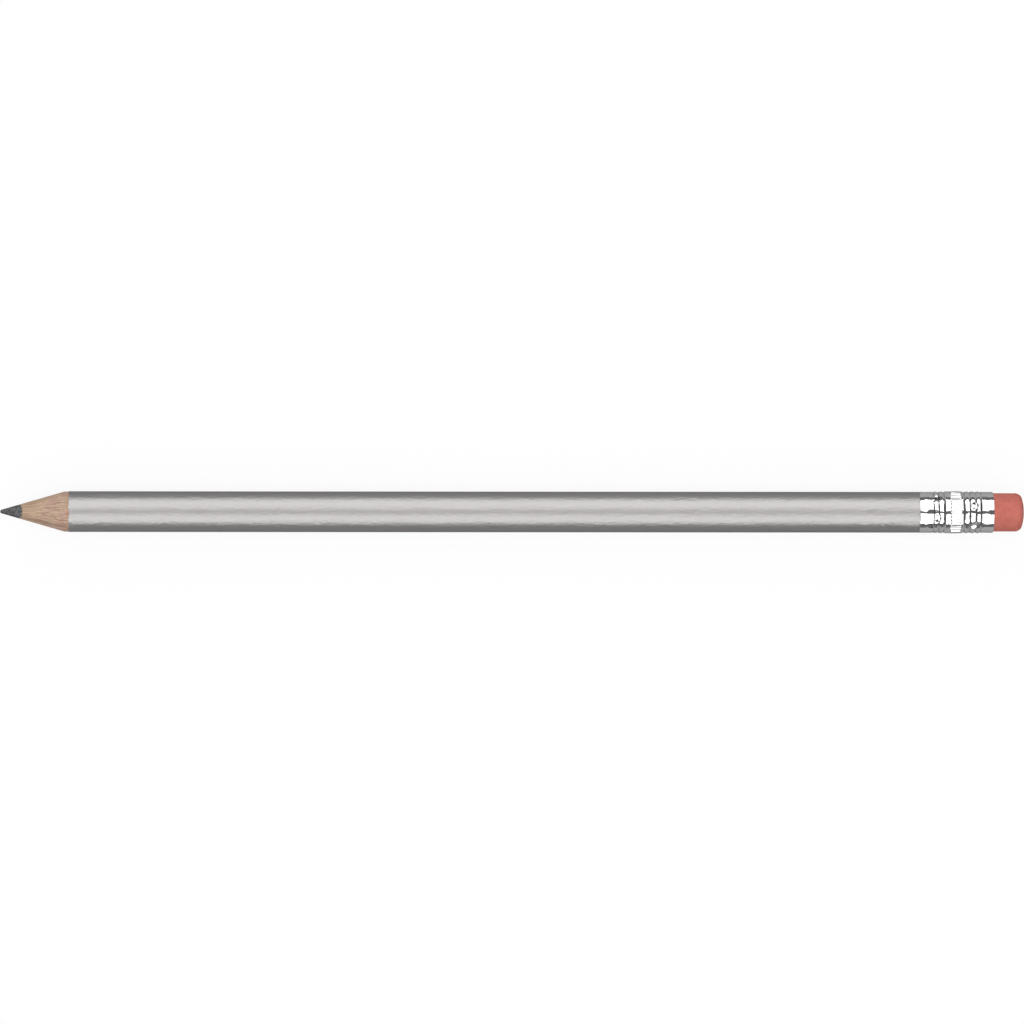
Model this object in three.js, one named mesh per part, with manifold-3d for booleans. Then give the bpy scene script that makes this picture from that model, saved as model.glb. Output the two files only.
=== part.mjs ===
// A round wooden pencil: a graphite core glued between two grooved cedar slats, turned round,
// sharpened, lacquered silver, and closed by an aluminium ferrule that grips a plug eraser.
// Millimetres and degrees. The pencil lies along X with its point at -X, resting on Z = 0.

import * as THREE from 'three';
import { mergeVertices } from 'three/addons/utils/BufferGeometryUtils.js';
import Module from 'manifold-3d';

// Barrel and lacquer
const BARREL_DIAMETER = 7.4;
const LACQUER_THICKNESS = 0.06;
const LACQUERED_LENGTH = 154.5;
const BARE_RING_LENGTH = 0.8;

// Sharpened point
const POINT_HALF_ANGLE = 16.1;
const TIP_RADIUS = 0.36;

// Core and glue line
const LEAD_DIAMETER = 2.5;
const GLUE_THICKNESS = 0.08;

// Ferrule sheet. Along it follow the front collar, a row of rolled valleys, the toothed band, a
// second row of valleys and the rear collar. Each collar is measured to its nearest valley.
const FERRULE_WALL = 0.2;
const FERRULE_STEP = 0.01;
const MOUTH_FLARE = 0.02;
const MOUTH_LENGTH = 0.6;
const FRONT_COLLAR = 2.44;
const FRONT_VALLEYS = 3;
const FRONT_MARGIN = 1.0;
const BAND_WIDTH = 2.0;
const REAR_MARGIN = 0.65;
const REAR_VALLEYS = 4;
const REAR_COLLAR = 2.41;
const VALLEY_PITCH = 0.98;
const FRONT_VALLEY_DEPTH = 0.11;
const REAR_VALLEY_DEPTH = 0.17;
const VALLEY_SHOULDER = 0.25;
const FRONT_BEAD_HEIGHT = 0.045;
const REAR_BEAD_HEIGHT = 0.09;

// Toothed band. The shares are of one tooth's pitch, at its crest and at its root.
const TEETH = 40;
const TOOTH_HEIGHT = 0.07;
const TOOTH_CREST_SHARE = 0.5;
const TOOTH_ROOT_SHARE = 0.85;
const TOOTH_BEVEL = 0.2;

// Punched stakes: a front row grips the wood and a rear row the eraser. Each row is measured from
// the first valley of its own beads, and its angle turns from +Z towards +Y.
const STAKES_PER_ROW = 6;
const STAKE_DIAMETER = 1.6;
const STAKE_DEPTH = 0.34;
const FRONT_STAKE_OFFSET = 0.68;
const FRONT_STAKE_ANGLE = -15;
const REAR_STAKE_OFFSET = 1.8;
const REAR_STAKE_ANGLE = -39.5;

// Eraser. Its end is crowned round a small flat, and its rear corner is a quarter of an ellipse.
const ERASER_PROTRUSION = 5.6;
const ERASER_CROWN = 0.76;
const ERASER_CORNER_LENGTH = 1.0;
const ERASER_CORNER_DEPTH = 0.8;
const ERASER_FLAT_DIAMETER = 2.0;
const ERASER_CHAMFER = 0.4;

// Clearances between neighbouring pieces
const BOND_GAP = 0.01;
const TENON_FIT = 0.02;
const ERASER_FIT = 0.03;
const SEAT_GAP = 0.02;

// Finishes
const GRAPHITE = { color: 0x626365, roughness: 0.45, metalness: 0.1 };
const CEDAR_UPPER = { color: 0xbb9e8c, roughness: 0.7, metalness: 0 };
const CEDAR_LOWER = { color: 0xb49785, roughness: 0.7, metalness: 0 };
const GLUE = { color: 0x8c725c, roughness: 0.6, metalness: 0 };
const SILVER_LACQUER = { color: 0xcdcccb, roughness: 0.3, metalness: 0.6 };
const ALUMINIUM = { color: 0xdcdcdd, roughness: 0.18, metalness: 1 };
const CORAL_RUBBER = { color: 0xcb766b, roughness: 0.85, metalness: 0 };

// Facets
const SIDES = 40;
const TIP_STEPS = 3;
const BEAD_STEPS = 4;
const BORE_STEPS = 2;
const CROWN_STEPS = 3;
const CORNER_STEPS = 5;
const STAKE_SIDES = 16;
const STAKE_RINGS = 10;
const WELD_DISTANCE = 1e-4;

// Radii
const barrelRadius = BARREL_DIAMETER / 2;
const casingRadius = barrelRadius - LACQUER_THICKNESS;
const leadRadius = LEAD_DIAMETER / 2;
const grooveRadius = leadRadius + GLUE_THICKNESS;
const collarRadius = barrelRadius + FERRULE_STEP;
const frontBeadRadius = collarRadius + FRONT_BEAD_HEIGHT;
const rearBeadRadius = collarRadius + REAR_BEAD_HEIGHT;
const toothRadius = frontBeadRadius + TOOTH_HEIGHT;
const boreRadius = collarRadius - FERRULE_WALL;
const tenonRadius = boreRadius - TENON_FIT;
const eraserRadius = boreRadius - ERASER_FIT;

// Stations along the ferrule, measured from its mouth
const frontValleys = valleyRow(FRONT_VALLEYS, FRONT_COLLAR);
const bandStart = frontValleys.at(-1) + FRONT_MARGIN;
const bandEnd = bandStart + BAND_WIDTH;
const bandMiddle = (bandStart + bandEnd) / 2;
const rearValleys = valleyRow(REAR_VALLEYS, bandEnd + REAR_MARGIN);
const ferruleLength = rearValleys.at(-1) + REAR_COLLAR;
const frontStakeStation = frontValleys[0] + FRONT_STAKE_OFFSET;
const rearStakeStation = rearValleys[0] + REAR_STAKE_OFFSET;

// Stations along the pencil, measured from the tip. The tenon and the eraser meet under the
// middle of the toothed band.
const halfAngle = THREE.MathUtils.degToRad(POINT_HALF_ANGLE);
const apexToTip = TIP_RADIUS / Math.sin(halfAngle) - TIP_RADIUS;
const lacquerStart = coneStation(casingRadius) + BARE_RING_LENGTH;
const shoulder = lacquerStart + LACQUERED_LENGTH;
const mouth = shoulder + SEAT_GAP;
const tenonEnd = mouth + bandMiddle;
const eraserSeat = tenonEnd + SEAT_GAP;
const eraserExit = mouth + ferruleLength;
const overallLength = eraserExit + ERASER_PROTRUSION;

// The pencil rests on the two crests either side of a gap between teeth
const toothPitch = (2 * Math.PI) / TEETH;
const restHeight = toothRadius * Math.cos((toothPitch * (1 - TOOTH_CREST_SHARE)) / 2);

const wasm = await Module();
wasm.setup();

function valleyRow(count, first) {
  return Array.from({ length: count }, (_, i) => first + i * VALLEY_PITCH);
}

// Distance from the tip at which the sharpened cone has a given radius
function coneStation(radius) {
  return radius / Math.tan(halfAngle) - apexToTip;
}

function point(radius, station) {
  return new THREE.Vector2(radius, station);
}

// A profile of (radius, station) points turned about the X axis
function turned(profile) {
  return new THREE.LatheGeometry(profile, SIDES).rotateZ(-Math.PI / 2);
}

// A section drawn across the pencil and swept along X. Its first axis points to -Z.
function swept(section, length) {
  const options = { depth: length, bevelEnabled: false, curveSegments: SIDES / 4 };
  return new THREE.ExtrudeGeometry(section, options).rotateY(Math.PI / 2);
}

// A round hole for a section, drawn as two half turns so that it has as many sides as a turned face
function roundHole(radius) {
  const hole = new THREE.Path();
  hole.absarc(0, 0, radius, 2 * Math.PI, Math.PI, true);
  hole.absarc(0, 0, radius, Math.PI, 0, true);
  return hole;
}

// A closed surface as a solid, with its shared corners joined and collapsed triangles dropped
function solid(geometry) {
  geometry.deleteAttribute('normal');
  geometry.deleteAttribute('uv');
  const merged = mergeVertices(geometry, WELD_DISTANCE);
  const corners = merged.index.array;
  const triangles = [];
  for (let i = 0; i < corners.length; i += 3) {
    const triangle = corners.slice(i, i + 3);
    if (new Set(triangle).size === 3) triangles.push(...triangle);
  }
  return new wasm.Manifold(new wasm.Mesh({
    numProp: 3,
    vertProperties: new Float32Array(merged.attributes.position.array),
    triVerts: new Uint32Array(triangles),
  }));
}

function surface(body) {
  const { vertProperties, triVerts } = body.getMesh();
  const geometry = new THREE.BufferGeometry();
  geometry.setAttribute('position', new THREE.BufferAttribute(vertProperties, 3));
  geometry.setIndex(new THREE.BufferAttribute(triVerts, 1));
  geometry.computeVertexNormals();
  return geometry;
}

// Outline of the ferrule's outer face from its mouth to its rear edge: rolled beads meet in
// sharp valleys, and the ground under the toothed band is as high as the front beads.
function ferruleOutline(steps) {
  const path = new THREE.Path();
  const rollBeads = (valleys, valleyRadius, beadRadius) => {
    path.lineTo(valleyRadius, valleys[0]);
    valleys.slice(1).forEach((station, i) => {
      const crest = (valleys[i] + station) / 2;
      path.quadraticCurveTo(2 * beadRadius - valleyRadius, crest, valleyRadius, station);
    });
  };
  path.moveTo(collarRadius + MOUTH_FLARE, 0);
  path.lineTo(collarRadius, MOUTH_LENGTH);
  path.lineTo(collarRadius, frontValleys[0] - VALLEY_SHOULDER);
  rollBeads(frontValleys, collarRadius - FRONT_VALLEY_DEPTH, frontBeadRadius);
  path.lineTo(frontBeadRadius, frontValleys.at(-1) + VALLEY_SHOULDER);
  path.lineTo(frontBeadRadius, rearValleys[0] - VALLEY_SHOULDER);
  rollBeads(rearValleys, collarRadius - REAR_VALLEY_DEPTH, rearBeadRadius);
  path.lineTo(collarRadius, rearValleys.at(-1) + VALLEY_SHOULDER);
  path.lineTo(collarRadius, ferruleLength);
  return path.getPoints(steps);
}

function inset(outline, depth) {
  return outline.map((p) => point(p.x - depth, p.y));
}

// Outline of a round piece gripped in the ferrule between two of its stations: straight, and
// notched where the valleys bite into it. Stations are measured from the tip.
function grippedOutline(from, to, radius, fit) {
  return inset(ferruleOutline(BORE_STEPS), FERRULE_WALL + fit)
    .filter((p) => p.y > from && p.y < to)
    .map((p) => point(Math.min(radius, p.x), mouth + p.y));
}

// One row of punch balls round a row of beads. Grown by the wall they give the back of the dented
// sheet, and grown by a fit as well the hollows in the piece that the sheet is pressed into.
function stakeRow(beadRadius, station, firstAngle, growth) {
  const rimRadius = STAKE_DIAMETER / 2;
  const ballRadius = (rimRadius ** 2 + STAKE_DEPTH ** 2) / (2 * STAKE_DEPTH);
  const reach = beadRadius - STAKE_DEPTH + ballRadius;
  const punches = Array.from({ length: STAKES_PER_ROW }, (_, i) => {
    const angle = THREE.MathUtils.degToRad(firstAngle + (360 * i) / STAKES_PER_ROW);
    const ball = new THREE.SphereGeometry(ballRadius + growth, STAKE_SIDES, STAKE_RINGS);
    return solid(ball.translate(station, 0, reach).rotateX(-angle));
  });
  return punches.reduce((row, punch) => row.add(punch));
}

function frontStakes(start, growth) {
  return stakeRow(frontBeadRadius, start + frontStakeStation, FRONT_STAKE_ANGLE, growth);
}

function rearStakes(start, growth) {
  return stakeRow(rearBeadRadius, start + rearStakeStation, REAR_STAKE_ANGLE, growth);
}

// Graphite core with its rounded, sharpened tip
function graphiteCore() {
  const path = new THREE.Path();
  path.absarc(0, TIP_RADIUS, TIP_RADIUS, -Math.PI / 2, -halfAngle, false);
  path.lineTo(leadRadius, coneStation(leadRadius));
  path.lineTo(leadRadius, tenonEnd);
  path.lineTo(0, tenonEnd);
  return turned(path.getPoints(TIP_STEPS));
}

// The outside of the shaped wood: sharpened cone, round barrel, and the tenon for the ferrule
function shapedOutside() {
  const profile = [
    point(0, -apexToTip),
    point(casingRadius, coneStation(casingRadius)),
    point(casingRadius, shoulder),
    point(tenonRadius, shoulder),
    ...grippedOutline(0, bandMiddle, tenonRadius, TENON_FIT),
    point(tenonRadius, tenonEnd),
    point(0, tenonEnd),
  ];
  return solid(turned(profile)).subtract(frontStakes(mouth, FERRULE_WALL + TENON_FIT));
}

// A slat with a half-round groove, on the +Y side of the glue line
function groovedSlat() {
  const face = GLUE_THICKNESS / 2;
  const edge = Math.asin(face / grooveRadius);
  const section = new THREE.Shape();
  section.absarc(0, 0, grooveRadius, Math.PI - edge, edge, true);
  section.lineTo(BARREL_DIAMETER, face);
  section.lineTo(BARREL_DIAMETER, BARREL_DIAMETER);
  section.lineTo(-BARREL_DIAMETER, BARREL_DIAMETER);
  section.lineTo(-BARREL_DIAMETER, face);
  return swept(section, overallLength);
}

// Glue: a sleeve round the core with a flat wing either side of it, between the two slats
function glueSandwich() {
  const half = GLUE_THICKNESS / 2 - BOND_GAP;
  const sleeveRadius = grooveRadius - BOND_GAP;
  const root = Math.asin(half / sleeveRadius);
  const section = new THREE.Shape();
  section.absarc(0, 0, sleeveRadius, root, Math.PI - root, false);
  section.lineTo(-BARREL_DIAMETER, half);
  section.lineTo(-BARREL_DIAMETER, -half);
  section.absarc(0, 0, sleeveRadius, Math.PI + root, 2 * Math.PI - root, false);
  section.lineTo(BARREL_DIAMETER, -half);
  section.lineTo(BARREL_DIAMETER, half);
  section.holes.push(roundHole(leadRadius + BOND_GAP));
  return swept(section, overallLength);
}

function lacquerCoat() {
  const backRadius = casingRadius + BOND_GAP;
  return turned([
    point(backRadius, lacquerStart),
    point(barrelRadius, lacquerStart),
    point(barrelRadius, shoulder),
    point(backRadius, shoulder),
    point(backRadius, lacquerStart),
  ]);
}

// Ring of teeth let half-way into the ferrule's wall, with a gap between teeth straight below
// and each tooth bevelled at both ends
function toothedBand() {
  const rootRadius = frontBeadRadius - FERRULE_WALL / 4;
  const crests = Array.from({ length: TEETH }, (_, i) => (i + 0.5) * toothPitch);
  const corner = (crest, share, radius) => {
    const angle = crest + (share * toothPitch) / 2;
    return point(radius * Math.cos(angle), radius * Math.sin(angle));
  };
  const section = new THREE.Shape(crests.flatMap((crest) => [
    corner(crest, -TOOTH_ROOT_SHARE, rootRadius),
    corner(crest, -TOOTH_CREST_SHARE, toothRadius),
    corner(crest, TOOTH_CREST_SHARE, toothRadius),
    corner(crest, TOOTH_ROOT_SHARE, rootRadius),
  ]));
  section.holes.push(roundHole(frontBeadRadius - FERRULE_WALL / 2));
  const clearOfCrests = toothRadius + TOOTH_HEIGHT;
  const bevels = turned([
    point(0, bandStart),
    point(rootRadius, bandStart),
    point(clearOfCrests, bandStart + TOOTH_BEVEL),
    point(clearOfCrests, bandEnd - TOOTH_BEVEL),
    point(rootRadius, bandEnd),
    point(0, bandEnd),
  ]);
  const teeth = swept(section, BAND_WIDTH).translate(bandStart, 0, 0);
  return solid(teeth).intersect(solid(bevels));
}

// Sheet rolled into beads and valleys, with the toothed band and two rows of punched stakes.
// Its own X starts at its mouth.
function crimpedFerrule() {
  const outer = ferruleOutline(BEAD_STEPS);
  const inner = inset(ferruleOutline(BORE_STEPS), FERRULE_WALL).reverse();
  const sheet = solid(turned([...outer, ...inner, outer[0]]));
  const middle = inset(outer, FERRULE_WALL / 2);
  const core = solid(turned([point(0, 0), ...middle, point(0, ferruleLength)]));
  const stakes = (growth) => frontStakes(0, growth).add(rearStakes(0, growth));
  const backs = stakes(FERRULE_WALL).intersect(core);
  return sheet.add(toothedBand()).add(backs).subtract(stakes(0));
}

// How far behind the very end the eraser's rear face lies at a given radius
function eraserFall(radius) {
  const flatRadius = ERASER_FLAT_DIAMETER / 2;
  const cornerStart = eraserRadius - ERASER_CORNER_DEPTH;
  const crown = (radius ** 2 - flatRadius ** 2) / (eraserRadius ** 2 - flatRadius ** 2);
  const turn = Math.max(0, radius - cornerStart) / ERASER_CORNER_DEPTH;
  return ERASER_CROWN * crown + ERASER_CORNER_LENGTH * (1 - Math.sqrt(1 - turn ** 2));
}

// Rubber plug, notched and dented by the ferrule, with a crowned end round a small flat
function eraserPlug() {
  const flatRadius = ERASER_FLAT_DIAMETER / 2;
  const cornerStart = eraserRadius - ERASER_CORNER_DEPTH;
  const corner = Array.from({ length: CORNER_STEPS }, (_, i) => {
    return cornerStart + ERASER_CORNER_DEPTH * Math.cos((Math.PI / 2) * (i / CORNER_STEPS));
  });
  const crown = Array.from({ length: CROWN_STEPS + 1 }, (_, i) => {
    return THREE.MathUtils.lerp(cornerStart, flatRadius, i / CROWN_STEPS);
  });
  const profile = [
    point(0, eraserSeat),
    point(eraserRadius - ERASER_CHAMFER, eraserSeat),
    point(eraserRadius, eraserSeat + ERASER_CHAMFER),
    ...grippedOutline(bandEnd, ferruleLength, eraserRadius, ERASER_FIT),
    point(eraserRadius, eraserExit),
    ...[...corner, ...crown].map((radius) => point(radius, overallLength - eraserFall(radius))),
    point(0, overallLength),
  ];
  return solid(turned(profile)).subtract(rearStakes(mouth, FERRULE_WALL + ERASER_FIT));
}

function piece(name, geometry, finish) {
  const mesh = new THREE.Mesh(geometry, new THREE.MeshStandardMaterial(finish));
  mesh.name = name;
  return mesh;
}

const outside = shapedOutside();
const leftSlat = solid(groovedSlat());
const rightSlat = solid(groovedSlat().rotateX(Math.PI));
const glue = solid(glueSandwich());

const ferrule = piece('ferrule', surface(crimpedFerrule()), ALUMINIUM);
ferrule.position.x = mouth;

const pencil = new THREE.Group();
pencil.position.set(-overallLength / 2, 0, restHeight);
pencil.add(
  piece('graphite_core', graphiteCore(), GRAPHITE),
  piece('casing_half_left', surface(leftSlat.intersect(outside)), CEDAR_UPPER),
  piece('casing_half_right', surface(rightSlat.intersect(outside)), CEDAR_LOWER),
  piece('glue_film', surface(glue.intersect(outside)), GLUE),
  piece('lacquer_coat', lacquerCoat(), SILVER_LACQUER),
  ferrule,
  piece('eraser_plug', surface(eraserPlug()), CORAL_RUBBER),
);

const model = new THREE.Group();
model.add(pencil);

export default model;
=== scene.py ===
# %% [markdown]
# # A silver-lacquered wooden pencil
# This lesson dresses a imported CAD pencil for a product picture. The CAD model is a fixed frame: it says
# where each piece lies and how large it is, in metres, with the point at -X and the eraser at +X.
# Each step models one piece with the tools that a modeller would use by hand, and then gives it a finish.

# %% Load the frame
import math

import bpy
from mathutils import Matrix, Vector


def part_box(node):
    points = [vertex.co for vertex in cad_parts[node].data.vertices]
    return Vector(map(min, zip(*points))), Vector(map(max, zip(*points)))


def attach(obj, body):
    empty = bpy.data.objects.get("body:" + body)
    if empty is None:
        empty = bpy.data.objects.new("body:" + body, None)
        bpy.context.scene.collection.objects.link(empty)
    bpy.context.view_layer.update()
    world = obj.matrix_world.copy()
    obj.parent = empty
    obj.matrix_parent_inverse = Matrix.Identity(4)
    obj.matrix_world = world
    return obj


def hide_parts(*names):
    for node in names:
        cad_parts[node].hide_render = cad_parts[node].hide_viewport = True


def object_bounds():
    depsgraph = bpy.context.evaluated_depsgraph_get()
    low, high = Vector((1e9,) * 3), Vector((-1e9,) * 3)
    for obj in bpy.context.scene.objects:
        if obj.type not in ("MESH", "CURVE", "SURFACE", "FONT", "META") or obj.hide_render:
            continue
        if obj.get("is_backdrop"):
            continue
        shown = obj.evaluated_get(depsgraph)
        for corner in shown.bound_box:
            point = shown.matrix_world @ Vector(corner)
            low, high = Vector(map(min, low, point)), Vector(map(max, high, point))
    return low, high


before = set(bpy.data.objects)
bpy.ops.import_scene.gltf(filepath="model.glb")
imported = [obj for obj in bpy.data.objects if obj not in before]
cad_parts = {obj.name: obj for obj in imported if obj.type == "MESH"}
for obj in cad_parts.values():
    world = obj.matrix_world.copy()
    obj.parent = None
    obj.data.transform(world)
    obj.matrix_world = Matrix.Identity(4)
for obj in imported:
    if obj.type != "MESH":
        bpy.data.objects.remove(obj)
cad_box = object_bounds()
print("frame:", sorted(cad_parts))

# %% [markdown]
# ## Measures
# Every round piece of a pencil shares one axis, so a few radii and a few stations along X describe all of
# them. Most can be read off the boxes of the CAD nodes. Reading them there, instead of typing them again,
# keeps each new surface exactly where its solid is. What a box can't say is named here in millimetres.

# %% Read the radii and stations off the frame
MM = 0.001
HALF_ANGLE = math.radians(16.1)
TIP_RADIUS = 0.36 * MM
GLUE_THICKNESS = 0.08 * MM

core_low, core_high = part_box("graphite_core")
casing_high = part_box("casing_half_left")[1]
lacquer_low, lacquer_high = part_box("lacquer_coat")
ferrule_low, ferrule_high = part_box("ferrule")
eraser_low, eraser_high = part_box("eraser_plug")

AXIS_Z = (core_low.z + core_high.z) / 2
CORE_RADIUS = core_high.y
GROOVE_RADIUS = CORE_RADIUS + GLUE_THICKNESS
CASING_RADIUS = casing_high.y
BARREL_RADIUS = lacquer_high.y
ERASER_RADIUS = eraser_high.y

TIP_X = core_low.x
APEX_X = TIP_X + TIP_RADIUS - TIP_RADIUS / math.sin(HALF_ANGLE)
TENON_END_X = casing_high.x
LACQUER_X = lacquer_low.x
SHOULDER_X = lacquer_high.x
MOUTH_X = ferrule_low.x
FERRULE_LENGTH = ferrule_high.x - ferrule_low.x


def cone_x(radius):
    """Station at which the sharpened cone has a given radius."""
    return APEX_X + radius / math.tan(HALF_ANGLE)


print(f"axis {AXIS_Z / MM:.3f} mm above the table, barrel radius {BARREL_RADIUS / MM:.2f} mm")
print(f"cone from {TIP_X / MM:.2f} to {cone_x(CASING_RADIUS) / MM:.2f} mm")

# %% [markdown]
# ## Camera
# The pencil was photographed from straight above with a long lens, so that it fills the picture from edge
# to edge. A camera with no rotation already looks down at -Z with +X to the right. Its height follows from
# the length that the picture spans and the lens. The pencil did not lie quite square to the picture, so the
# camera is turned by a hair.

# %% Place the camera
PICTURE_WIDTH = 186.17 * MM
PICTURE_CENTRE = (0.06 * MM, -0.01 * MM)
PICTURE_TURN = math.radians(0.05)
LENS = 155
SENSOR = 36

camera_height = PICTURE_WIDTH * LENS / SENSOR
bpy.ops.object.camera_add(
    location=(*PICTURE_CENTRE, AXIS_Z + camera_height),
    rotation=(0, 0, PICTURE_TURN),
)
camera = bpy.context.object
camera.data.lens = LENS
camera.data.sensor_width = SENSOR
bpy.context.scene.camera = camera
bpy.context.scene.view_settings.view_transform = "Standard"
print(f"camera {camera_height:.3f} m above the axis")

# %% [markdown]
# ## Wiring helpers
# Node materials repeat the same few moves: add a node, set or wire its inputs, take its output. Small
# functions with plain names keep the recipes below short enough to read like sentences.

# %% Helpers for node trees
def put(tree, socket, value):
    """Wire a socket to an input, or set a plain value on it."""
    if isinstance(value, bpy.types.NodeSocket):
        tree.links.new(value, socket)
    else:
        socket.default_value = value


def math_of(tree, operation, first, second=0.0):
    made = tree.nodes.new("ShaderNodeMath")
    made.operation = operation
    put(tree, made.inputs[0], first)
    put(tree, made.inputs[1], second)
    return made.outputs["Value"]


def noise(tree, vector, scale, detail=2.0, roughness=0.5):
    made = tree.nodes.new("ShaderNodeTexNoise")
    put(tree, made.inputs["Vector"], vector)
    put(tree, made.inputs["Scale"], scale)
    put(tree, made.inputs["Detail"], detail)
    put(tree, made.inputs["Roughness"], roughness)
    return made.outputs["Fac"]


def remap(tree, value, low, high, to_low=0.0, to_high=1.0):
    """Ease a value from one range into another."""
    made = tree.nodes.new("ShaderNodeMapRange")
    made.interpolation_type = "SMOOTHSTEP"
    put(tree, made.inputs["Value"], value)
    put(tree, made.inputs["From Min"], low)
    put(tree, made.inputs["From Max"], high)
    put(tree, made.inputs["To Min"], to_low)
    put(tree, made.inputs["To Max"], to_high)
    return made.outputs["Result"]


def mixed(tree, factor, first, second):
    """Mix two colours, each a socket or three linear numbers."""
    made = tree.nodes.new("ShaderNodeMix")
    made.data_type = "RGBA"
    put(tree, made.inputs["Factor"], factor)
    colours = [socket for socket in made.inputs if socket.type == "RGBA"]
    for socket, colour in zip(colours, (first, second)):
        put(tree, socket, colour if isinstance(colour, bpy.types.NodeSocket) else (*colour, 1.0))
    return next(socket for socket in made.outputs if socket.type == "RGBA")


def bump(tree, height, distance):
    made = tree.nodes.new("ShaderNodeBump")
    put(tree, made.inputs["Height"], height)
    put(tree, made.inputs["Distance"], distance)
    return made.outputs["Normal"]


def start_material(name):
    """A new material with one Principled BSDF, and the Object coordinates to paint it by."""
    material = bpy.data.materials.new(name)
    material.use_nodes = True
    tree = material.node_tree
    tree.nodes.clear()
    output = tree.nodes.new("ShaderNodeOutputMaterial")
    shader = tree.nodes.new("ShaderNodeBsdfPrincipled")
    tree.links.new(shader.outputs["BSDF"], output.inputs["Surface"])
    place = tree.nodes.new("ShaderNodeTexCoord").outputs["Object"]
    return material, tree, shader, place


# %% [markdown]
# ## Floor, cloth and grey card
# The ground of a product picture is plain white, but a floor still has to catch the pencil's shadow. Here
# the floor is a white disc. Rays from the camera, and those that come by way of metal or glass, see it mostly
# as a steady white, and a part of its real shading stays. A low white ring far behind it closes the view when
# the camera looks along the floor.
#
# A shiny round bar shows whatever lies beside it. The silver sides of this pencil show a mid-grey ground that
# turns dark a few centimetres away, and over a white floor they would wash out. So a narrow grey card lies
# under the pencil, on a dark cloth. Both take part in reflections and in the light that bounces up, but the
# camera looks through them.

# %% Lay the floor
FLOOR_RADIUS = 6.0
FLOOR_SIDES = 96
FLOOR_WHITE = (0.96, 0.96, 0.96, 1.0)
STEADY_SHARE = 0.84
STEADY_WHITE = 1.10

white_floor = bpy.data.materials.new("white_floor")
white_floor.use_nodes = True
tree = white_floor.node_tree
tree.nodes.clear()
rays = tree.nodes.new("ShaderNodeLightPath")
seen = math_of(tree, "MAXIMUM", rays.outputs["Is Camera Ray"], rays.outputs["Is Glossy Ray"])
seen = math_of(tree, "MAXIMUM", seen, rays.outputs["Is Transmission Ray"])
paper = tree.nodes.new("ShaderNodeBsdfDiffuse")
paper.inputs["Color"].default_value = FLOOR_WHITE
glow = tree.nodes.new("ShaderNodeEmission")
glow.inputs["Strength"].default_value = STEADY_WHITE
mix = tree.nodes.new("ShaderNodeMixShader")
put(tree, mix.inputs["Fac"], math_of(tree, "MULTIPLY", seen, STEADY_SHARE))
put(tree, mix.inputs[1], paper.outputs["BSDF"])
put(tree, mix.inputs[2], glow.outputs["Emission"])
output = tree.nodes.new("ShaderNodeOutputMaterial")
put(tree, output.inputs["Surface"], mix.outputs["Shader"])

bpy.ops.object.select_all(action="DESELECT")
bpy.ops.mesh.primitive_circle_add(vertices=FLOOR_SIDES, radius=FLOOR_RADIUS, fill_type="NGON")
floor = bpy.context.object
floor.name = "floor"
floor.data.materials.append(white_floor)
floor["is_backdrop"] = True
print("floor:", 2 * FLOOR_RADIUS, "m across")

# %% Close the view behind the floor
RING_RISE = 1.2

bpy.ops.object.select_all(action="DESELECT")
bpy.ops.mesh.primitive_circle_add(vertices=FLOOR_SIDES, radius=FLOOR_RADIUS, fill_type="NOTHING")
ring = bpy.context.object
ring.name = "backdrop_ring"
bpy.ops.object.mode_set(mode="EDIT")
bpy.ops.mesh.select_all(action="SELECT")
bpy.ops.mesh.extrude_edges_move(TRANSFORM_OT_translate={"value": (0, 0, RING_RISE)})
bpy.ops.object.mode_set(mode="OBJECT")
ring.visible_glossy = False
ring.data.materials.append(white_floor)
ring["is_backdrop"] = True
print("ring:", RING_RISE, "m high")

# %% Lay the cloth and the grey card
SHEET_LENGTH = 2.0
CLOTH_WIDTH = 2.0
CLOTH_LIFT = 0.03 * MM
CLOTH_GREY = (0.04, 0.04, 0.04, 1.0)
CARD_WIDTH = 0.15
CARD_LIFT = 0.05 * MM
CARD_GREY = (0.365, 0.365, 0.365, 1.0)


def hidden_sheet(name, width, lift, grey):
    """A flat sheet under the pencil that shows in reflections, but not to the camera."""
    bpy.ops.object.select_all(action="DESELECT")
    bpy.ops.mesh.primitive_plane_add(size=SHEET_LENGTH, location=(0, 0, lift))
    sheet = bpy.context.object
    sheet.name = name
    sheet.scale.y = width / SHEET_LENGTH
    bpy.ops.object.transform_apply(location=True, rotation=False, scale=True)
    sheet.visible_camera = False
    sheet.visible_transmission = False
    sheet.visible_shadow = False
    material, _, shader, _ = start_material(name)
    shader.inputs["Base Color"].default_value = grey
    shader.inputs["Roughness"].default_value = 1.0
    shader.inputs["Specular IOR Level"].default_value = 0.0
    sheet.data.materials.append(material)
    sheet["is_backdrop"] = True
    print(f"{name}: {SHEET_LENGTH} by {width} m")


hidden_sheet("dark_cloth", CLOTH_WIDTH, CLOTH_LIFT, CLOTH_GREY)
hidden_sheet("grey_card", CARD_WIDTH, CARD_LIFT, CARD_GREY)

# %% [markdown]
# ## Two softboxes
# The two pale stripes along the barrel are the reflections of two long softboxes, one on each side of the
# camera. The thin darker stripe between them is the gap overhead where the camera looks through. On a round
# bar a stripe's place gives a lamp's direction: a slope of 10 degrees shows what stands 20 degrees off the
# vertical. So each lamp is placed by the two angles between which it is seen, and its power follows from the
# brightness of its face. A satin surface blurs the stripes' edges. A softbox whose rims are brighter than its
# middle keeps them firm, so each box is three lamps side by side. The world outside is a dim room.

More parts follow.
